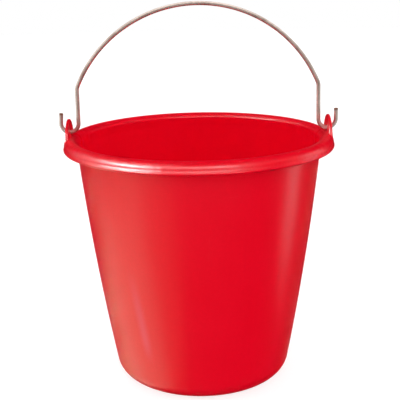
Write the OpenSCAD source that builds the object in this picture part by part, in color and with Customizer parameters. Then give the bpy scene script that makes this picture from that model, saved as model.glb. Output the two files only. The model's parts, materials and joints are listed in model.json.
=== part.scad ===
// Feed bucket: one moulded tub with a rolled rim and two ears, and the bent wire bail that swings in them.
// Millimetres. The origin is at the middle of the footprint, +Z is up, and the ears stand on +X and -X.

/* [Tub] */
// Height of the rim's crown above the ground
height = 288; // [230:1:320]
// Diameter over the lip of the rolled rim
rim_d = 310; // [308:1:314]
// Thickness of the wall, the base and the rim
wall_t = 2.4; // [1.8:0.1:3.2]
// How far the wall leans out just under the rim, in degrees
neck_lean = 5.7; // [3:0.1:8]
// How far the wall leans out just above the base, in degrees
foot_lean = 10.7; // [8:0.1:12]
// Outer radius of the bend between the wall and the base
corner_r = 24; // [14:1:28]
// Height of the hollow under the base, which leaves a ring to stand on
recess_h = 3; // [2:0.5:3.5]
// Width of the ring that it stands on
foot_w = 8; // [5:1:14]

/* [Rolled rim] */
// Outer radius of the half-round roll
roll_r = 8.3; // [7.5:0.1:9]
// Depth of the rim from its crown to the bottom of its lip
rim_h = 13.9; // [13:0.1:18]
// Radius of the bead along the lip
bead_r = 2.2; // [1.8:0.1:2.4]
// How far the bead stands out past the roll
bead_out = 1; // [0.6:0.1:1.2]

/* [Ears] */
// Radius of the half-round ear
ear_r = 24; // [20:1:26]
// Height of the ear's top above the crown
ear_h = 19.5; // [18:0.5:22]
// Distance from the axis to the ear's middle plane
ear_x = 148.8; // [147.8:0.1:149.4]
// Thickness of the ear at its top
ear_top_t = 3; // [2.4:0.1:3.6]
// Thickness of the ear at the crown
ear_root_t = 4.4; // [4:0.1:5]
// Radius of the hole for the wire
hole_r = 3.8; // [3.2:0.1:4]
// Distance from the ear's middle to each of its two ribs
rib_y = 16; // [12:1:19]
// Thickness of each rib
rib_t = 2.2; // [1.6:0.1:2.6]

/* [Bail] */
// Diameter of the wire
wire_d = 4.6; // [4:0.1:5]
// Radius of the carrying arch, at the middle of the wire
arch_r = 148.5; // [147:0.5:150]
// Height of the swing axis above the crown
pivot_h = 4.5; // [4.3:0.1:6]
// Drop of the arch's centre below the swing axis
arch_drop = 6; // [4:0.5:8]
// Distance from the axis to each straight leg
leg_x = 137.3; // [136:0.1:138]
// Radius of the bend between the arch and a leg
bend_r = 12; // [8:1:16]
// Radius of the hook that passes through the ear
hook_r = 10; // [9.5:0.1:10.5]
// Length of the free end above the hook's bend
prong_l = 12; // [6:1:18]

/* [Hidden] */
$fn = 180;

tub_red = [0.88, 0.03, 0.10];
zinc_grey = [0.62, 0.60, 0.57];

rim_r = rim_d / 2;
roll_x = rim_r - bead_out - roll_r;
roll_z = height - roll_r;
channel_r = roll_r - wall_t;
neck_r = roll_x - channel_r * cos(neck_lean);
neck_z = roll_z - channel_r * sin(neck_lean);
bead_x = rim_r - bead_r;
bead_z = height - rim_h + bead_r;

corner_lean = wall_lean(corner_r);
corner_top = corner_r * (1 - sin(corner_lean));
corner_x = wall_r(corner_top) - corner_r * cos(corner_lean);
recess_r = corner_x - foot_w - recess_h;
mitre = wall_t * tan(22.5);

pivot_z = height + pivot_h;
arch_z = pivot_z - arch_drop;
kink_z = arch_z + sqrt(pow(arch_r - bend_r, 2) - pow(leg_x - bend_r, 2));
kink_a = atan2(kink_z - arch_z, leg_x - bend_r);
hook_z = pivot_z + hook_r;

rib_inset = 2;
rib_low = height - rim_h + rib_inset;
embed = 1.2;
ear_low = rib_low + embed;
ear_slope = (ear_root_t - ear_top_t) / 2 / ear_h;
overrun = 1;
sleeve_t = 0.02;
sleeve_l = 0.6;
wall_steps = 16;
arc_steps = 12;

// The wall's outer radius at a height, on a curve whose lean grows evenly from the neck to the foot
function wall_r(z) = neck_r - (neck_z - z) * tan(neck_lean)
    - (tan(foot_lean) - tan(neck_lean)) * pow(neck_z - z, 2) / (2 * neck_z);

// The wall's lean at a height
function wall_lean(z) = atan(tan(neck_lean) + (tan(foot_lean) - tan(neck_lean)) * (1 - z / neck_z));

// A point of the wall at a height, moved in by a depth square to the outer face
function wall_point(z, depth) = [wall_r(z) - depth * cos(wall_lean(z)), z + depth * sin(wall_lean(z))];

// The wall from one height to another
function wall_line(z0, z1, depth) =
    [for (i = [0:wall_steps]) wall_point(z0 + (z1 - z0) * i / wall_steps, depth)];

// An arc about a centre, from angle a to angle b
function arc(x, z, r, a, b) =
    [for (i = [0:arc_steps]) let (t = a + (b - a) * i / arc_steps) [x + r * cos(t), z + r * sin(t)]];

// Half of the tub's section: up the outside, over the roll, and down the inside
module tub_section() {
    polygon(concat(
        [[0, recess_h], [recess_r, recess_h], [recess_r + recess_h, 0]],
        arc(corner_x, corner_r, corner_r, -90, -corner_lean),
        wall_line(corner_top, neck_z, 0),
        arc(roll_x, roll_z, channel_r, 180 + neck_lean, 0),
        arc(bead_x, bead_z, bead_r, 180, 360 + acos(1 - bead_out / bead_r)),
        arc(roll_x, roll_z, roll_r, 0, 180 + neck_lean),
        wall_line(neck_z, corner_top, wall_t),
        arc(corner_x, corner_r, corner_r - wall_t, -corner_lean, -90),
        [[recess_r + recess_h + mitre, wall_t], [recess_r + mitre, recess_h + wall_t]],
        [[0, recess_h + wall_t]]
    ));
}

// The space under the roll, grown a little into the walls around it
module channel_section() {
    polygon(concat(
        [[wall_r(rib_low) - embed, rib_low]],
        arc(roll_x, roll_z, channel_r + embed, 180 + neck_lean, 0),
        [[roll_x + channel_r + embed, rib_low]]
    ));
}

// Half the thickness of the ear's plate at a height above the crown
function ear_half(h) = ear_root_t / 2 - ear_slope * h;

// A half-round plate that thins towards its top, standing through the roll on the +X side
module ear_plate() {
    top = height + ear_h + overrun;
    low = ear_low - overrun;
    intersection() {
        rotate([90, 0, 90]) linear_extrude(height = 2 * rim_r) {
            polygon(concat(
                [[ear_r, ear_low]],
                arc(0, height + ear_h - ear_r, ear_r, 0, 180),
                [[-ear_r, ear_low]]
            ));
        }
        rotate([90, 0, 0]) linear_extrude(height = 4 * ear_r, center = true) {
            polygon([
                [ear_x - ear_half(low - height), low],
                [ear_x + ear_half(low - height), low],
                [ear_x + ear_half(top - height), top],
                [ear_x - ear_half(top - height), top]
            ]);
        }
    }
}

// Two ribs that tie the ear to the wall inside the roll
module ear_ribs() {
    intersection() {
        rotate_extrude() channel_section();
        for (side = [-1, 1]) {
            translate([0, side * rib_y - rib_t / 2, 0]) cube([rim_r, rib_t, height]);
        }
    }
}

// The ear on the +X side, with a round hole through it for the wire
module ear() {
    difference() {
        union() {
            ear_plate();
            ear_ribs();
        }
        translate([ear_x, 0, pivot_z]) rotate([0, 90, 0]) {
            cylinder(r = hole_r, h = 4 * ear_root_t, center = true);
        }
    }
}

// One moulding: base, wall, rolled rim and ears
module bucket() {
    color(tub_red) {
        rotate_extrude() tub_section();
        ear();
        mirror([1, 0, 0]) ear();
    }
}

// A bend of the wire in the upright plane, about a centre, from angle a through angle b
module wire_bend(x, z, r, a, b) {
    translate([x, 0, z]) rotate([90, 0, 0]) rotate_extrude(start = a, angle = b) {
        translate([r, 0]) circle(d = wire_d);
    }
}

// A straight upright length of the wire
module wire_run(x, z, l) {
    translate([x, 0, z]) cylinder(d = wire_d, h = l);
}

// A hair-thin sleeve where two stretches of the wire meet, so that they fuse into one length
module wire_joint(x, z, tilt) {
    translate([x, 0, z]) rotate([0, -tilt, 0]) {
        cylinder(d = wire_d + 2 * sleeve_t, h = sleeve_l, center = true);
    }
}

// A leg with its bend into the arch, and the hook and free end that hold it in the ear
module bail_end() {
    wire_joint(arch_r * cos(kink_a), arch_z + arch_r * sin(kink_a), kink_a);
    wire_bend(leg_x - bend_r, kink_z, bend_r, 0, kink_a);
    wire_joint(leg_x, kink_z, 0);
    wire_run(leg_x, hook_z, kink_z - hook_z);
    wire_joint(leg_x, hook_z, 0);
    wire_bend(leg_x + hook_r, hook_z, hook_r, 180, 180);
    wire_joint(leg_x + 2 * hook_r, hook_z, 0);
    wire_run(leg_x + 2 * hook_r, hook_z, prong_l);
}

// One length of galvanised wire, bent to shape
module bail() {
    color(zinc_grey) {
        wire_bend(0, arch_z, arch_r, kink_a, 180 - 2 * kink_a);
        bail_end();
        mirror([1, 0, 0]) bail_end();
    }
}

bucket();
bail();
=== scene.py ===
import json
import math

import bmesh
import bpy
import numpy as np
from mathutils import Matrix, Vector


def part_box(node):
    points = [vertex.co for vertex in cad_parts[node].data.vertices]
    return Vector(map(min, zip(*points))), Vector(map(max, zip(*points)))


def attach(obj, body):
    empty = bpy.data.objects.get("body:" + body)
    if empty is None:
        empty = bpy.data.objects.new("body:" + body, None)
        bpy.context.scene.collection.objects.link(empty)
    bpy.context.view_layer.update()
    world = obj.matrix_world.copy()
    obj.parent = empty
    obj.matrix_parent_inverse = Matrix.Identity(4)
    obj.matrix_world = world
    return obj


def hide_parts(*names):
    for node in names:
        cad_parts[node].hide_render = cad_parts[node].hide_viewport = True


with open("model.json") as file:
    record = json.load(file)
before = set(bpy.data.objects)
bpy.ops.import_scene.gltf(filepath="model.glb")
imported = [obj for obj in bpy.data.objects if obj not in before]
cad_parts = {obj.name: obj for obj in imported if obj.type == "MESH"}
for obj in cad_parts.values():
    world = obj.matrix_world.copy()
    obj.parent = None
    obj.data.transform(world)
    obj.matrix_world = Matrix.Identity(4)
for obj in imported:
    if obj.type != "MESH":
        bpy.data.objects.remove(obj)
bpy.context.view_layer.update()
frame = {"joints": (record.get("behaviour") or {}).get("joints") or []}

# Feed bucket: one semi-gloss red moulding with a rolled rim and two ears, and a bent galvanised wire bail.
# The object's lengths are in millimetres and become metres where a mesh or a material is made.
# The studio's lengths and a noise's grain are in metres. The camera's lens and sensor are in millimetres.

MM = 0.001

# ---------------------------------------------------------------- sizes of the studio

STUDIO_R = 6.0
FLOOR_R = 5.0
DISC_SIDES = 96
FLAG_RISE = math.radians(25)
GLOW_R = 0.04
GLOW_AT = (0, 0, 0.16)
LOOK_AT = Vector((0, 0, 0.2))
WHITE = (1.0, 1.0, 1.0)
WARM = (1.0, 0.92, 0.66)

CAMERA_AT = (0, -1.0492, 0.4896)
CAMERA_PITCH = math.radians(14.98)
CAMERA_ROLL = math.radians(-1.124)
CAMERA_LENS = 83.47
CAMERA_SENSOR = 36
CAMERA_REACH = 50

# ---------------------------------------------------------------- sizes from the frame

bucket_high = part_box("bucket")[1] / MM
swing = next(joint for joint in frame["joints"] if joint["name"] == "bail_swing")
pivot_z = swing["pos_m"][2] / MM
rim_r = bucket_high.y

# ---------------------------------------------------------------- sizes of the moulding

EAR_H = 19.5
EAR_R = 24.0
EAR_X = 148.8
EAR_TOP_T = 3.0
EAR_ROOT_T = 4.4
EAR_EDGE_R = 1.1
HOLE_R = 3.8
HOLE_EDGE_R = 0.6
RIB_Y = 16.0
RIB_T = 2.2
RIB_EDGE_R = 0.6
RIB_INSET = 2.0
RIB_FILLET = 1.2
EAR_EMBED = 1.2
FILLET = 2.6
SKIN_SINK = 0.06
SKIN_REACH = 3.2

EAR_NET_STEP = 0.55
EAR_NET_X = (131.5, 158.5)
EAR_NET_Y = 31.0
EAR_NET_BELOW = 20.5
EAR_NET_ABOVE = 1.5
NET_PASSES = 4
NET_NUDGE = 0.05
NET_SLOPE_FLOOR = 0.25

WALL_T = 2.4
NECK_LEAN = math.radians(5.7)
FOOT_LEAN = math.radians(10.7)
CORNER_R = 24.0
RECESS_H = 3.0
FOOT_W = 8.0
BEND_R = 1.4
GATE_R = 3.5
GATE_DISH_R = 13.0
GATE_H = 0.7

ROLL_R = 8.3
RIM_H = 13.9
BEAD_R = 2.2
BEAD_OUT = 1.0

crown_z = bucket_high.z - EAR_H
roll_x = rim_r - BEAD_OUT - ROLL_R
roll_z = crown_z - ROLL_R
channel_r = ROLL_R - WALL_T
neck_r = roll_x - channel_r * math.cos(NECK_LEAN)
neck_z = roll_z - channel_r * math.sin(NECK_LEAN)
bead_x = rim_r - BEAD_R
bead_z = crown_z - RIM_H + BEAD_R

TUB_COLUMNS = 256
WELD = 0.001
OVAL_LOBES = (2, 3, 5, 8, 13)
OVAL_DEPTH = 0.4
FLOW_LINES = 9
FLOW_START = math.radians(-126)
FLOW_WIDTH = math.radians(1.3)
FLOW_DEPTH = 0.16
GOLDEN_TURN = math.radians(137.5)

# ---------------------------------------------------------------- places of the wear
# Heights, distances from the pin or distances from the middle plane. A pair is where a fade starts and ends.

UNEVEN_LOW = 272
UNEVEN_HIGH = 277
CROWN_WEAR_LOW = 284
EAR_RUB_R = 7.2
EAR_RUB_X = (143, 146)
HOOK_RUB_H = 9
HOOK_RUB_X = (138, 141)
FOOT_WEAR = (3.5, 0.2)
FOOT_DUST = (6, 30)

# The long pale streak's bearing at its middle height, its width, and its lean in radians per metre of rise.
# It is a scuff with a painted highlight in its colour
HIGHLIGHT_SCUFF_AT = math.radians(-125.6)
HIGHLIGHT_SCUFF_WIDTH = math.radians(4.6)
HIGHLIGHT_SCUFF_LEAN = 0.72
HIGHLIGHT_SCUFF_MIDDLE = 100
HIGHLIGHT_SCUFF_FOOT = (40, 75)
HIGHLIGHT_SCUFF_HEAD = (170, 90)

# The roughness that both materials start from. At 0.24 the plastic showed dark specks under these lamps.
SHEEN = 0.27

# ---------------------------------------------------------------- sizes of the wire

WIRE_D = 4.6
ARCH_R = 148.5
ARCH_DROP = 6.0
LEG_X = 137.3
KINK_R = 12.0
HOOK_R = 10.0
PRONG_L = 12.0
WIRE_CUT = 0.35
WIRE_SIDES = 28
BOW_DEPTH = 0.5
BOW_ASIDE = 0.12
BOW_WAVES = 3
BEND_FADE = 10
LEG_LEAN = 0.8

arch_z = pivot_z - ARCH_DROP
hook_z = pivot_z + HOOK_R
kink_z = arch_z + math.sqrt((ARCH_R - KINK_R) ** 2 - (LEG_X - KINK_R) ** 2)
kink_a = math.atan2(kink_z - arch_z, LEG_X - KINK_R)


# ================================================================ the moulding's section

def wall_lean(z):
    """The wall's lean at a height, which grows evenly from the neck down to the foot."""
    return math.atan(math.tan(NECK_LEAN) + (math.tan(FOOT_LEAN) - math.tan(NECK_LEAN)) * (1 - z / neck_z))


def wall_r(z):
    """The wall's outer radius at a height."""
    drop = neck_z - z
    bow = (math.tan(FOOT_LEAN) - math.tan(NECK_LEAN)) * drop**2 / (2 * neck_z)
    return neck_r - drop * math.tan(NECK_LEAN) - bow


def wall_line(z0, z1, depth, steps=52):
    """Points of the wall between two heights, moved in by a depth square to its outer face."""
    points = []
    for z in np.linspace(z0, z1, steps):
        lean = wall_lean(z)
        points.append((wall_r(z) - depth * math.cos(lean), z + depth * math.sin(lean)))
    return points


def arc(x, z, r, a, b, steps):
    """Points on an arc about (x, z), from angle a to angle b in degrees."""
    turns = np.radians(np.linspace(a, b, steps))
    return [(x + r * math.cos(t), z + r * math.sin(t)) for t in turns]


def rounded(corners, radius, steps=5):
    """A polyline whose inner corners are rounded; its two ends stay."""
    points = [corners[0]]
    for before, here, after in zip(corners, corners[1:], corners[2:]):
        here = Vector(here)
        u = (Vector(before) - here).normalized()
        v = (Vector(after) - here).normalized()
        half = u.angle(v) / 2
        reach = radius / math.tan(half)
        centre = here + (u + v).normalized() * radius / math.sin(half)
        first = here + u * reach - centre
        last = here + v * reach - centre
        for share in np.linspace(0, 1, steps):
            points.append(tuple(centre + first.slerp(last, share).normalized() * radius))
    points.append(corners[-1])
    return points


def rings(start, end, steps):
    """Evenly spaced points from start up to, but without, end."""
    return [tuple(Vector(start).lerp(Vector(end), i / steps)) for i in range(steps)]


def tub_section():
    """Half of the moulding's section, from the middle of the base up the inside, over the roll and back."""
    corner_lean = wall_lean(CORNER_R)
    corner_top = CORNER_R * (1 - math.sin(corner_lean))
    corner_x = wall_r(corner_top) - CORNER_R * math.cos(corner_lean)
    lean = math.degrees(corner_lean)
    neck = 180 + math.degrees(NECK_LEAN)
    recess_r = corner_x - FOOT_W - RECESS_H
    mitre = WALL_T * math.tan(math.pi / 8)
    floor_z = RECESS_H + WALL_T
    bead_end = 360 + math.degrees(math.acos(1 - BEAD_OUT / BEAD_R))
    inner_foot = rounded([
        (recess_r - FOOT_W, floor_z),
        (recess_r + mitre, floor_z),
        (recess_r + RECESS_H + mitre, WALL_T),
        (corner_x, WALL_T),
    ], BEND_R)
    outer_foot = rounded([
        (corner_x, 0),
        (recess_r + RECESS_H, 0),
        (recess_r, RECESS_H),
        (recess_r - FOOT_W, RECESS_H),
    ], BEND_R)
    gate = rounded([
        (GATE_DISH_R + GATE_H, RECESS_H),
        (GATE_DISH_R, RECESS_H + GATE_H),
        (GATE_R + 2 * GATE_H, RECESS_H + GATE_H),
        (GATE_R, RECESS_H - GATE_H),
        (GATE_R / 2, RECESS_H - GATE_H),
    ], GATE_H / 4, steps=3)
    return (
        rings((0, floor_z), inner_foot[0], 8)
        + inner_foot[:-1]
        + arc(corner_x, CORNER_R, CORNER_R - WALL_T, -90, -lean, 15)[:-1]
        + wall_line(corner_top, neck_z, WALL_T)[:-1]
        + arc(roll_x, roll_z, ROLL_R, neck, 0, 40)[:-1]
        + arc(bead_x, bead_z, BEAD_R, bead_end, 180, 14)
        + arc(roll_x, roll_z, channel_r, 0, neck, 30)[:-1]
        + wall_line(neck_z, corner_top, 0)[:-1]
        + arc(corner_x, CORNER_R, CORNER_R, -lean, -90, 15)[:-1]
        + outer_foot[:-1]
        + rings(outer_foot[-1], gate[0], 6)
        + gate
        + [(0, RECESS_H - GATE_H)]
    )


def make_mesh(name, points, faces):
    """A mesh object from points in millimetres and faces, linked to the scene and shaded smooth."""
    mesh = bpy.data.meshes.new(name)
    mesh.from_pydata((np.asarray(points) * MM).tolist(), [], [list(map(int, f)) for f in faces])
    mesh.validate()
    mesh.polygons.foreach_set("use_smooth", [True] * len(mesh.polygons))
    piece = bpy.data.objects.new(name, mesh)
    bpy.context.scene.collection.objects.link(piece)
    return piece


def lathe(name, section, columns):
    """A closed mesh of a section turned about Z. The section begins and ends on the axis."""
    body = np.array(section[1:-1])
    rows = len(body)
    turns = np.arange(columns) * 2 * math.pi / columns
    around = np.stack([np.cos(turns), np.sin(turns)], -1)
    points = np.empty((rows, columns, 3))
    points[..., :2] = body[:, None, :1] * around[None]
    points[..., 2] = body[:, None, 1]
    points = points.reshape(-1, 3).tolist()
    points += [(0, 0, section[0][1]), (0, 0, section[-1][1])]
    first, last = rows * columns, rows * columns + 1
    faces = []
    for c in range(columns):
        d = (c + 1) % columns
        faces.append((first, c, d))
        faces.append((last, (rows - 1) * columns + d, (rows - 1) * columns + c))
        for r in range(rows - 1):
            faces.append((r * columns + c, (r + 1) * columns + c, (r + 1) * columns + d, r * columns + d))
    return make_mesh(name, points, faces)


# ================================================================ the ears, as a signed distance field

def join_smooth(a, b, width):
    """The union of two fields with a fillet between them."""
    share = np.clip(0.5 + 0.5 * (b - a) / width, 0, 1)
    return b * (1 - share) + a * share - width * share * (1 - share)


def cut_round(a, b, radius):
    """The overlap of two fields with the edge between them rounded."""
    u, v = a + radius, b + radius
    return np.minimum(np.maximum(u, v), 0) + np.hypot(np.maximum(u, 0), np.maximum(v, 0)) - radius


def skin_field(r, z, half):
    """Distance to the roll's skin and the top of the wall, from their middle line."""
    middle_r = ROLL_R - WALL_T / 2
    dx, dz = r - roll_x, z - roll_z
    over = np.abs(np.hypot(dx, dz) - middle_r)
    lip_z = bead_z - roll_z
    lip = np.hypot(dx - middle_r, dz - np.clip(dz, lip_z, 0))
    lean = math.tan(NECK_LEAN)
    wall = np.hypot(dx + middle_r - dz * lean, dz - np.minimum(dz, 0))
    return np.where(dz > 0, over, np.minimum(lip, wall)) - half


def ear_field(p):
    """The +X ear: plate, hole and ribs, filleted into a skin that lies just under the roll's own surface."""
    x, y, z = p[..., 0], p[..., 1], p[..., 2]
    r = np.hypot(x, y)
    rib_low = crown_z - RIM_H + RIB_INSET
    ear_low = rib_low + EAR_EMBED
    round_z = crown_z + EAR_H - EAR_R
    outline = np.where(z > round_z, np.hypot(y, z - round_z), np.abs(y)) - EAR_R
    outline = cut_round(outline, ear_low - z, EAR_EDGE_R)
    half = EAR_ROOT_T / 2 - (EAR_ROOT_T - EAR_TOP_T) / 2 / EAR_H * (z - crown_z)
    plate = cut_round(np.abs(x - EAR_X) - half, outline, EAR_EDGE_R)
    hole = HOLE_R - np.hypot(y, z - pivot_z)
    plate = cut_round(plate, hole, HOLE_EDGE_R)
    middle_r = ROLL_R - WALL_T / 2
    dx, dz = r - roll_x, z - roll_z
    channel = np.where(dz > 0, np.hypot(dx, dz), np.abs(dx)) - middle_r
    rib = cut_round(np.abs(np.abs(y) - RIB_Y) - RIB_T / 2, rib_low - z, RIB_EDGE_R)
    rib = np.maximum(rib, channel)
    added = join_smooth(plate, rib, RIB_FILLET)
    skin = skin_field(r, z, WALL_T / 2 - SKIN_SINK)
    skin = np.maximum(skin, added - SKIN_REACH)
    return join_smooth(added, skin, FILLET)


def surface_net(field, low, high, step):
    """Points and quads over the zero surface of a field inside a box, on a regular grid."""
    low = np.array(low, float)
    axes = [np.arange(a, b, step) for a, b in zip(low, high)]
    value = field(np.stack(np.meshgrid(*axes, indexing="ij"), -1))
    inside = value < 0
    n = np.array(value.shape) - 1
    count = np.zeros(n, int)
    for i, j, k in np.ndindex(2, 2, 2):
        count += inside[i:i + n[0], j:j + n[1], k:k + n[2]]
    mixed = (count > 0) & (count < 8)
    index = np.full(n, -1)
    index[mixed] = np.arange(mixed.sum())
    points = low + (np.argwhere(mixed) + 0.5) * step
    nudge = np.eye(3) * step * NET_NUDGE
    span = step * (2 * NET_NUDGE)
    for _ in range(NET_PASSES):
        slope = np.stack([(field(points + d) - field(points - d)) / span for d in nudge], -1)
        points -= slope * (field(points) / np.maximum((slope**2).sum(-1), NET_SLOPE_FLOOR))[:, None]
    faces = []
    for axis in range(3):
        u, v = np.eye(3, dtype=int)[(axis + 1) % 3], np.eye(3, dtype=int)[(axis + 2) % 3]
        here = inside.take(range(n[axis]), axis)
        there = inside.take(range(1, n[axis] + 1), axis)
        edges = np.argwhere(here != there)
        edges = edges[(edges @ u > 0) & (edges @ v > 0) & (edges @ u < n @ u) & (edges @ v < n @ v)]
        quad = np.stack([index[tuple((edges - s).T)] for s in (0 * u, u, u + v, v)], -1)
        leaves = here[tuple(edges.T)]
        quad[leaves] = quad[leaves][:, ::-1]
        faces.append(quad)
    return points, np.concatenate(faces)


def make_ear(name, side):
    """A closed mesh of one ear, on the +X or the -X side."""
    low = (EAR_NET_X[0], -EAR_NET_Y, crown_z - EAR_NET_BELOW)
    high = (EAR_NET_X[1], EAR_NET_Y, crown_z + EAR_H + EAR_NET_ABOVE)
    points, faces = surface_net(ear_field, low, high, EAR_NET_STEP)
    if side < 0:
        points = points * (-1, 1, 1)
    else:
        faces = faces[:, ::-1]
    return make_mesh(name, points, faces)


def fuse(piece, other):
    """Unites another closed mesh with a piece and removes the other."""
    union = piece.modifiers.new("fuse", "BOOLEAN")
    union.operation = "UNION"
    union.solver = "EXACT"
    union.object = other
    fused = bpy.data.meshes.new_from_object(piece.evaluated_get(bpy.context.evaluated_depsgraph_get()))
    piece.modifiers.clear()
    piece.data = fused
    bpy.data.objects.remove(other)


def weld(mesh):
    """Merges the points that a union leaves within a micrometre of each other."""
    bm = bmesh.new()
    bm.from_mesh(mesh)
    bmesh.ops.remove_doubles(bm, verts=bm.verts, dist=WELD * MM)
    bm.to_mesh(mesh)
    bm.free()


def settle(mesh):
    """Draws the wall and the rim in a little, unevenly, as a moulding does when it cools."""
    co = np.empty(len(mesh.vertices) * 3)
    mesh.vertices.foreach_get("co", co)
    co = co.reshape(-1, 3)
    x, y, z = co.T / MM
    around = np.arctan2(y, x)
    rise = np.clip(z / crown_z, 0, 1)
    wave = sum(np.cos(lobes * around + lobes**2) for lobes in OVAL_LOBES) / len(OVAL_LOBES)
    inward = OVAL_DEPTH * rise * (1 + wave) / 2
    for k in range(FLOW_LINES):
        off = np.angle(np.exp(1j * (around - FLOW_START - k * GOLDEN_TURN)))
        depth = FLOW_DEPTH * (1 + math.sin(3 * k)) / 2
        inward += depth * np.exp(-(off / FLOW_WIDTH) ** 2) * np.clip(4 * rise * (1 - rise), 0, 1)
    co[:, :2] *= (1 - inward / rim_r)[:, None]
    mesh.vertices.foreach_set("co", co.ravel())
    mesh.update()


def make_bucket():
    """The whole moulding: the turned tub with both ears fused on, then drawn in as it cooled."""
    piece = lathe("bucket_moulding", tub_section(), TUB_COLUMNS)
    for side in (1, -1):
        fuse(piece, make_ear("ear", side))
    weld(piece.data)
    piece.data.polygons.foreach_set("use_smooth", [True] * len(piece.data.polygons))
    settle(piece.data)
    return piece


# ================================================================ the bail

def bail_line():
    """The middle line of the wire's +X half, from the tip of its free end to the top of the arch."""
    prong_x = LEG_X + 2 * HOOK_R
    line = [(prong_x, z) for z in np.linspace(hook_z + PRONG_L, hook_z, 7)[:-1]]
    line += arc(LEG_X + HOOK_R, hook_z, HOOK_R, 0, -180, 25)[:-1]
    line += [(LEG_X, z) for z in np.linspace(hook_z, kink_z, 12)[:-1]]
    line += arc(LEG_X - KINK_R, kink_z, KINK_R, 0, math.degrees(kink_a), 7)[:-1]
    line += arc(0, arch_z, ARCH_R, math.degrees(kink_a), 90, 60)
    return np.array([(x, 0, z) for x, z in line])


def hand_bent(line):
    """The small bows and leans that a bent wire keeps: inward in its plane, and a little sideways."""
    x, z = line[:, 0], line[:, 2]
    side = np.sign(x)
    share = np.clip((z - hook_z) / (kink_z - hook_z), 0, 1)
    bow = BOW_DEPTH * (1 - np.cos(BOW_WAVES * np.arctan2(z - arch_z, x) + BOW_WAVES)) / 2
    free_end = np.abs(x) > LEG_X + HOOK_R
    bent = line.copy()
    bent[:, 0] -= side * np.where(free_end, LEG_LEAN * np.clip((z - hook_z) / PRONG_L, 0, 1) * (side < 0), 0)
    bent[:, 0] -= side * np.where(free_end, 0, bow * share)
    bent[:, 2] -= np.where(z > kink_z, bow * np.clip((z - kink_z) / BEND_FADE, 0, 1), 0)
    bent[:, 1] += BOW_ASIDE * np.sin(BOW_WAVES * x / ARCH_R) * np.where(free_end, 0, share)
    return bent


def make_bail():
    """One length of wire, swept along its line, with both cut ends slightly chamfered.

    The point attribute "straight" holds each point's place on the wire before it was bent, in metres.
    """
    half = bail_line()
    line = hand_bent(np.concatenate([half, half[-2::-1] * (-1, 1, 1)]))
    ahead = np.gradient(line, axis=0)
    ahead /= np.linalg.norm(ahead, axis=1)[:, None]
    along = np.concatenate([[0], np.cumsum(np.linalg.norm(np.diff(line, axis=0), axis=1))])
    turns = np.arange(WIRE_SIDES) * 2 * math.pi / WIRE_SIDES
    radius = WIRE_D / 2
    last = len(line) - 1
    rows = [(0, 0, radius - WIRE_CUT), (0, WIRE_CUT, radius)]
    rows += [(i, 0, radius) for i in range(1, last)]
    rows += [(last, -WIRE_CUT, radius), (last, 0, radius - WIRE_CUT)]
    points, straight = [], []
    for i, shift, r in rows:
        out = Vector(ahead[i]).cross(Vector((0, 1, 0))).normalized()
        across = out.cross(Vector(ahead[i]))
        for t in turns:
            u, v = r * math.cos(t), r * math.sin(t)
            points.append(line[i] + ahead[i] * shift + np.array(across) * u + np.array(out) * v)
            straight.append((u, v, along[i] + shift))
    faces = []
    for row in range(len(rows) - 1):
        here, there = row * WIRE_SIDES, (row + 1) * WIRE_SIDES
        for s in range(WIRE_SIDES):
            t = (s + 1) % WIRE_SIDES
            faces.append([here + s, here + t, there + t, there + s])
    faces.append(range(WIRE_SIDES)[::-1])
    faces.append(range((len(rows) - 1) * WIRE_SIDES, len(rows) * WIRE_SIDES))
    piece = make_mesh("bail_wire", points, faces)
    attribute = piece.data.attributes.new("straight", "FLOAT_VECTOR", "POINT")
    attribute.data.foreach_set("vector", np.ravel(straight) * MM)
    piece.data.set_sharp_from_angle(angle=math.radians(35))
    return piece, along[-1] * MM


# ================================================================ materials

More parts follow.
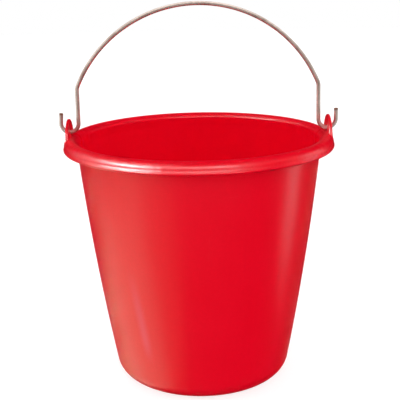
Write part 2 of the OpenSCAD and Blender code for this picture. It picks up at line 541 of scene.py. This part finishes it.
class Nodes:
    """A material's node tree, with short calls to add and join nodes."""

    def __init__(self, name):
        self.material = bpy.data.materials.new(name)
        self.material.use_nodes = True
        self.tree = self.material.node_tree
        self.shader = self.tree.nodes["Principled BSDF"]

    def add(self, kind, inputs=(), **settings):
        node = self.tree.nodes.new("ShaderNode" + kind)
        for key, value in settings.items():
            setattr(node, key, value)
        for socket, value in dict(inputs).items():
            self.put(node.inputs[socket], value)
        return node

    def put(self, socket, value):
        """Sets a socket's own value, or joins an output to it."""
        if isinstance(value, bpy.types.NodeSocket):
            self.tree.links.new(value, socket)
        else:
            socket.default_value = value

    def shade(self, **values):
        """Sets or joins the shader's sockets, named with _ for each space."""
        for name, value in values.items():
            self.put(self.shader.inputs[name.replace("_", " ")], value)

    def math(self, operation, *values):
        return self.add("Math", enumerate(values), operation=operation).outputs[0]

    def place(self):
        """The point's place on the object, in metres, and its three coordinates."""
        vector = self.add("TexCoord").outputs["Object"]
        return vector, self.add("SeparateXYZ", {0: vector}).outputs

    def join(self, x, y, z):
        return self.add("CombineXYZ", {0: x, 1: y, 2: z}).outputs[0]

    def stretch(self, vector, x, y, z):
        return self.add("VectorMath", {0: vector, 1: (x, y, z)}, operation="MULTIPLY").outputs[0]

    def noise(self, vector, grain, detail=2.0, rough=0.5):
        """A noise from 0 to 1 whose features are about one grain across, in metres."""
        inputs = {"Vector": vector, "Scale": 1 / grain, "Detail": detail, "Roughness": rough}
        return self.add("TexNoise", inputs).outputs["Fac"]

    def cells(self, vector, grain):
        """A random value from 0 to 1 for each cell, with cells about one grain across."""
        colour = self.add("TexVoronoi", {"Vector": vector, "Scale": 1 / grain}).outputs["Color"]
        return self.add("SeparateColor", {0: colour}).outputs[0]

    def fade(self, value, start, end, low=0.0, high=1.0):
        """Goes smoothly from low to high as the value goes from start to end."""
        inputs = {"Value": value, "From Min": start, "From Max": end, "To Min": low, "To Max": high}
        return self.add("MapRange", inputs, interpolation_type="SMOOTHSTEP").outputs[0]

    def near(self, value, middle, width):
        """1 where the value is at the middle, down to 0 at a width from it."""
        off = self.math("ABSOLUTE", self.math("SUBTRACT", value, middle))
        return self.fade(off, 0, width, 1, 0)

    def product(self, first, *others):
        for other in others:
            first = self.math("MULTIPLY", first, other)
        return first

    def total(self, *terms):
        """The sum of weight times value over (weight, value) pairs."""
        result = 0.0
        for weight, value in terms:
            result = self.math("MULTIPLY_ADD", value, weight, result)
        return result

    def blend(self, share, first, second):
        """A colour that goes from the first to the second as the share goes from 0 to 1."""
        inputs = {0: share, 6: first, 7: second}
        return self.add("Mix", inputs, data_type="RGBA", clamp_factor=True).outputs[2]

    def bump(self, height, metres):
        return self.add("Bump", {"Height": height, "Distance": metres, "Strength": 1.0}).outputs["Normal"]


def red_plastic():
    """Injection-moulded polyethylene: mottled red, faint flow lines, orange peel and a slightly uneven rim.

    Its wear is hairlines, nicks on the crown, rubbed holes and a worn, dusty foot. One long pale streak is a
    scuff whose highlight is painted into the colour.
    """
    n = Nodes("red_plastic")
    here, (x, y, z) = n.place()
    radius = n.math("SQRT", n.math("ADD", n.math("MULTIPLY", x, x), n.math("MULTIPLY", y, y)))
    wide = n.math("MAXIMUM", radius, 0.01)
    around = n.join(n.math("DIVIDE", x, wide), n.math("DIVIDE", y, wide), n.math("MULTIPLY", z, 0.8))

    mottle = n.noise(here, 0.0035, 3, 0.6)
    cloud = n.noise(here, 0.06, 3, 0.55)
    flow = n.noise(around, 0.05, 4, 0.6)
    peel = n.noise(here, 0.0042, 1.5, 0.45)
    ripple = n.noise(here, 0.028, 1, 0.4)
    turning = n.noise(n.stretch(here, 0.05, 0.05, 1), 0.0011, 1, 0.5)
    uneven = n.product(n.noise(here, 0.012, 2, 0.5), n.fade(z, UNEVEN_LOW * MM, UNEVEN_HIGH * MM))

    hair = n.near(n.noise(n.stretch(here, 1, 1, 0.3), 0.09, 0, 0.3), 0.5, 0.0007)
    hair_2 = n.near(n.noise(n.stretch(here, 0.4, 0.4, 1), 0.07, 0, 0.3), 0.52, 0.0010)
    sparse = n.fade(n.noise(here, 0.017, 1, 0.5), 0.56, 0.66)
    sparse_2 = n.fade(n.noise(here, 0.022, 2, 0.5), 0.60, 0.68)
    hairline = n.math("MAXIMUM", n.product(hair, sparse), n.product(hair_2, sparse_2))

    # Painted highlight: a long pale streak on the front-left wall, a scuff whose glint is painted into its
    # colour
    bearing = n.math("ARCTAN2", y, x)
    rise = n.math("SUBTRACT", z, HIGHLIGHT_SCUFF_MIDDLE * MM)
    drift = n.math("ADD", bearing, n.math("MULTIPLY", rise, HIGHLIGHT_SCUFF_LEAN))
    foot_end = n.fade(z, HIGHLIGHT_SCUFF_FOOT[0] * MM, HIGHLIGHT_SCUFF_FOOT[1] * MM)
    head_end = n.fade(z, HIGHLIGHT_SCUFF_HEAD[0] * MM, HIGHLIGHT_SCUFF_HEAD[1] * MM)
    scuff_and_highlight = n.product(n.near(drift, HIGHLIGHT_SCUFF_AT, HIGHLIGHT_SCUFF_WIDTH), foot_end, head_end)

    patchy = n.noise(here, 0.006, 4, 0.7)
    foot = n.product(n.fade(z, FOOT_WEAR[0] * MM, FOOT_WEAR[1] * MM), n.fade(patchy, 0.35, 0.6))
    crown = n.fade(z, CROWN_WEAR_LOW * MM, crown_z * MM)
    nicked = n.product(crown, n.fade(n.noise(here, 0.0024, 1, 0.5), 0.66, 0.76))
    above_pin = n.math("POWER", n.math("SUBTRACT", z, pivot_z * MM), 2.0)
    from_pin = n.math("SQRT", n.math("ADD", n.math("MULTIPLY", y, y), above_pin))
    at_hole = n.fade(from_pin, EAR_RUB_R * MM, HOLE_R * MM)
    on_ear = n.fade(n.math("ABSOLUTE", x), EAR_RUB_X[0] * MM, EAR_RUB_X[1] * MM)
    ear_rub = n.product(at_hole, on_ear, n.fade(patchy, 0.3, 0.62))
    dust = n.product(n.fade(z, FOOT_DUST[0] * MM, FOOT_DUST[1] * MM, 0.5, 0.0), n.fade(patchy, 0.5, 0.72))

    deep = n.blend(n.fade(cloud, 0.3, 0.7), (0.752, 0.0010, 0.0125, 1), (0.775, 0.0014, 0.0145, 1))
    streaked = n.blend(n.fade(flow, 0.35, 0.7, 0.0, 0.5), deep, (0.785, 0.0020, 0.0150, 1))
    mottled = n.blend(n.fade(mottle, 0.30, 0.72, 0.4, 0.0), streaked, (0.710, 0.0008, 0.0115, 1))
    scuffed = n.blend(n.math("MULTIPLY", hairline, 0.3), mottled, (0.800, 0.10, 0.11, 1))
    # Painted highlight: the pale streak's colour, lighter and bluer than the plastic
    with_painted_streak = n.blend(n.math("MULTIPLY", scuff_and_highlight, 0.26), scuffed, (0.780, 0.14, 0.23, 1))
    soiled = n.math("MAXIMUM", foot, dust)
    dusty = n.blend(n.math("MULTIPLY", soiled, 0.55), with_painted_streak, (0.560, 0.10, 0.085, 1))
    rubbed = n.blend(n.math("MULTIPLY", ear_rub, 0.6), dusty, (0.300, 0.055, 0.055, 1))
    nicks = n.blend(n.math("MULTIPLY", nicked, 0.5), rubbed, (0.830, 0.16, 0.17, 1))

    rough = n.total(
        (0.03, cloud), (0.03, mottle), (0.22, hairline),
        (0.35, foot), (0.2, dust), (0.15, ear_rub),
    )
    height = n.total(
        (1.0, peel), (0.9, ripple), (0.16, turning), (28.0, uneven),
        (0.35, flow), (-0.9, hairline), (-2.0, nicked), (-1.2, foot),
    )
    n.shade(
        Base_Color=nicks,
        Roughness=n.math("ADD", rough, SHEEN),
        Normal=n.bump(height, 0.00003),
        IOR=1.49,
    )
    return n.material


def galvanised_wire(length):
    """Dull zinc-coated steel wire: drawing lines, spangle, brown patches, worn hooks and rusty cut ends."""
    n = Nodes("galvanised_wire")
    straight = n.add("Attribute", attribute_name="straight").outputs["Vector"]
    along = n.add("SeparateXYZ", {0: straight}).outputs[2]
    x, _, z = n.place()[1]

    drawn = n.noise(n.stretch(straight, 1, 1, 0.02), 0.0007, 3, 0.6)
    grain = n.noise(straight, 0.0012, 3, 0.65)
    spangle = n.cells(straight, 0.0026)
    tarnish = n.noise(n.stretch(straight, 1, 1, 0.35), 0.008, 4, 0.62)
    from_end = n.math("MINIMUM", along, n.math("SUBTRACT", length, along))
    cut = n.product(n.fade(from_end, 0.0032, 0.0004), n.fade(grain, 0.3, 0.6, 0.6, 1))
    on_hook = n.fade(n.math("ABSOLUTE", x), HOOK_RUB_X[0] * MM, HOOK_RUB_X[1] * MM)
    rubbed = n.product(n.near(z, pivot_z * MM, HOOK_RUB_H * MM), on_hook, n.fade(grain, 0.25, 0.6))

    zinc = n.blend(n.fade(spangle, 0.1, 0.9), (0.60, 0.50, 0.44, 1), (0.68, 0.57, 0.505, 1))
    streaked = n.blend(n.fade(drawn, 0.4, 0.68, 0.0, 0.45), zinc, (0.42, 0.33, 0.29, 1))
    tarnished = n.blend(n.fade(tarnish, 0.45, 0.68, 0.0, 0.75), streaked, (0.36, 0.255, 0.21, 1))
    polished = n.blend(n.math("MULTIPLY", rubbed, 0.7), tarnished, (0.70, 0.66, 0.63, 1))
    rusty = n.blend(cut, polished, (0.23, 0.085, 0.040, 1))

    rough = n.total((0.16, tarnish), (0.14, drawn), (0.08, spangle), (-0.14, rubbed), (0.3, cut))
    height = n.total((1.0, drawn), (0.8, grain), (0.5, tarnish), (-0.6, rubbed))
    n.shade(
        Base_Color=rusty,
        Metallic=1.0,
        Roughness=n.math("ADD", rough, SHEEN),
        Normal=n.bump(height, 0.00005),
    )
    return n.material


# ================================================================ camera, floor and light

def make_camera():
    """The camera stands in front of the bucket, above its rim, and is rolled by about a degree."""
    camera = bpy.data.objects.new("camera", bpy.data.cameras.new("camera"))
    bpy.context.scene.collection.objects.link(camera)
    camera.location = CAMERA_AT
    camera.rotation_mode = "QUATERNION"
    look = Matrix.Rotation(math.pi / 2 - CAMERA_PITCH, 3, "X") @ Matrix.Rotation(CAMERA_ROLL, 3, "Z")
    camera.rotation_quaternion = look.to_quaternion()
    camera.data.sensor_width = CAMERA_SENSOR
    camera.data.lens = CAMERA_LENS
    camera.data.clip_end = CAMERA_REACH
    bpy.context.scene.camera = camera


def make_disc(name, radius, z):
    """A flat round stage piece, in metres."""
    turns = np.arange(DISC_SIDES) * 2 * math.pi / DISC_SIDES
    edge = [(radius * math.cos(t), radius * math.sin(t), z) for t in turns]
    mesh = bpy.data.meshes.new(name)
    mesh.from_pydata(edge, [], [range(DISC_SIDES)])
    disc = bpy.data.objects.new(name, mesh)
    bpy.context.scene.collection.objects.link(disc)
    return disc


def make_flag():
    """A studio flag across the mouth that only casts shadows, to keep the gloss lights off the inside."""
    radius = roll_x - ROLL_R * math.cos(FLAG_RISE)
    level = roll_z + ROLL_R * math.sin(FLAG_RISE)
    flag = make_disc("mouth_flag", radius * MM, level * MM)
    for ray in ("camera", "diffuse", "glossy", "transmission", "volume_scatter"):
        setattr(flag, "visible_" + ray, False)


def make_floor():
    """A pale floor, white to the eye, with a soft shadow at the foot. Only the camera sees it."""
    floor = make_disc("floor", FLOOR_R, 0)
    n = Nodes("pale_floor")
    n.shade(
        Base_Color=(0.35, 0.35, 0.35, 1),
        Roughness=0.9,
        Specular_IOR_Level=0.0,
        Emission_Color=(1, 1, 1, 1),
        Emission_Strength=0.78,
    )
    floor.data.materials.append(n.material)
    floor.visible_glossy = False
    floor.visible_diffuse = False
    floor.visible_shadow = False


def make_world():
    """White behind the bucket, and dark to everything but the camera, so that the lamps alone light it."""
    world = bpy.data.worlds.new("studio")
    world.use_nodes = True
    bpy.context.scene.world = world
    tree = world.node_tree
    seen = tree.nodes["Background"]
    seen.inputs["Color"].default_value = (1, 1, 1, 1)
    path = tree.nodes.new("ShaderNodeLightPath")
    tree.links.new(path.outputs["Is Camera Ray"], seen.inputs["Strength"])


def linked(name, pieces):
    """A collection of pieces, for a light's list of what it lights or what blocks it."""
    group = bpy.data.collections.new(name)
    for piece in pieces:
        group.objects.link(piece)
    return group


def make_lamp(name, light, place, matt, receivers, blockers):
    """A lamp that shows either on matt surfaces or in gloss. With no receivers, it lights everything."""
    lamp = bpy.data.objects.new(name, light)
    bpy.context.scene.collection.objects.link(lamp)
    lamp.location = place
    lamp.visible_diffuse = matt
    lamp.visible_glossy = not matt
    lamp.visible_camera = False
    if receivers:
        lamp.light_linking.receiver_collection = linked(name + "_lit", receivers)
    if blockers:
        lamp.light_linking.blocker_collection = linked(name + "_shade", blockers)
    return lamp


def softbox(name, azimuth, elevation, spread, radiance, receivers=(), blockers=(),
            matt=False, steady=False, tint=WHITE):
    """A rectangular light that looks at the bucket and is as wide and high as its spread, in degrees.

    Azimuth 0 is the camera's side and 90 is +X. A radiance of 1 is as bright as a white card. A steady
    lamp has multiple importance sampling on, as the bare wire needs.
    """
    light = bpy.data.lights.new(name, "AREA")
    light.shape = "RECTANGLE"
    light.size, light.size_y = (2 * STUDIO_R * math.tan(math.radians(angle) / 2) for angle in spread)
    light.energy = radiance * math.pi * light.size * light.size_y
    light.color = tint
    light.cycles.use_multiple_importance_sampling = steady
    a, e = math.radians(azimuth), math.radians(elevation)
    away = Vector((math.sin(a) * math.cos(e), -math.cos(a) * math.cos(e), math.sin(e)))
    lamp = make_lamp(name, light, LOOK_AT + away * STUDIO_R, matt, receivers, blockers)
    lamp.rotation_mode = "QUATERNION"
    lamp.rotation_quaternion = away.to_track_quat("Z", "Y")


def light_tent(name, front, left, back, right, top, bottom, **kind):
    """Six square lights that close round the bucket like a cube, each with its own radiance."""
    for side, azimuth, elevation, radiance in (
        ("front", 0, 0, front),
        ("left", -90, 0, left),
        ("back", 180, 0, back),
        ("right", 90, 0, right),
        ("top", 0, 90, top),
        ("bottom", 0, -90, bottom),
    ):
        softbox(f"{name}_{side}", azimuth, elevation, (90, 90), radiance, **kind)


def inner_glow(receiver, power):
    """The light that comes through a thin plastic wall, as a soft lamp inside the tub."""
    light = bpy.data.lights.new("inner_glow", "POINT")
    light.energy = power
    light.shadow_soft_size = GLOW_R
    light.cycles.use_multiple_importance_sampling = False
    make_lamp("inner_glow", light, GLOW_AT, True, [receiver], [receiver])


# ================================================================ the scene

make_camera()
make_floor()
make_world()

bucket = make_bucket()
bucket.data.materials.clear()
bucket.data.materials.append(red_plastic())
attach(bucket, "bucket")
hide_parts("bucket")

bail, wire_length = make_bail()
bail.data.materials.append(galvanised_wire(wire_length))
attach(bail, "bail")
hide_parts("bail")

make_flag()
solids = [bucket, bail]
light_tent("fill", front=1.24, left=1.24, back=1.08, right=1.14, top=1.02, bottom=0.1,
           blockers=solids, matt=True)
inner_glow(bucket, power=0.13)

softbox("key", -70, 24, (60, 44), 5.5, [bucket])
softbox("key_core", -60, 20, (34, 20), 38.0, [bucket])
softbox("key_top", -66, 52, (40, 14), 2.6, [bucket])
softbox("left_back", -122, 25, (24, 70), 0.5, [bucket])
softbox("front_window", 4, 32, (44, 28), 5.6, [bucket])
softbox("front_low", 12, -4, (60, 8), 2.0, [bucket])
softbox("front_right", 26, 20, (26, 32), 1.8, [bucket])
softbox("right_strip", 105, 10, (30, 34), 1.5, [bucket])
softbox("right_low", 100, -17, (14, 20), 1.7, [bucket])
softbox("right_high", 55, 40, (50, 44), 0.4, [bucket])
softbox("pool", -92, -42, (56, 36), 1.15, [bucket], tint=WARM)
softbox("pool_wide", -88, -38, (100, 50), 0.35, [bucket], tint=WARM)
softbox("pool_back", -150, -45, (50, 40), 0.2, [bucket], tint=WARM)
softbox("right_graze", 150, -24, (30, 20), 0.14, [bucket], tint=WARM)

light_tent("wire", front=0.5, left=1.5, back=0.4, right=0.9, top=1.7, bottom=0.1,
           receivers=[bail], blockers=solids, steady=True)

bpy.context.scene.view_settings.view_transform = "Standard"
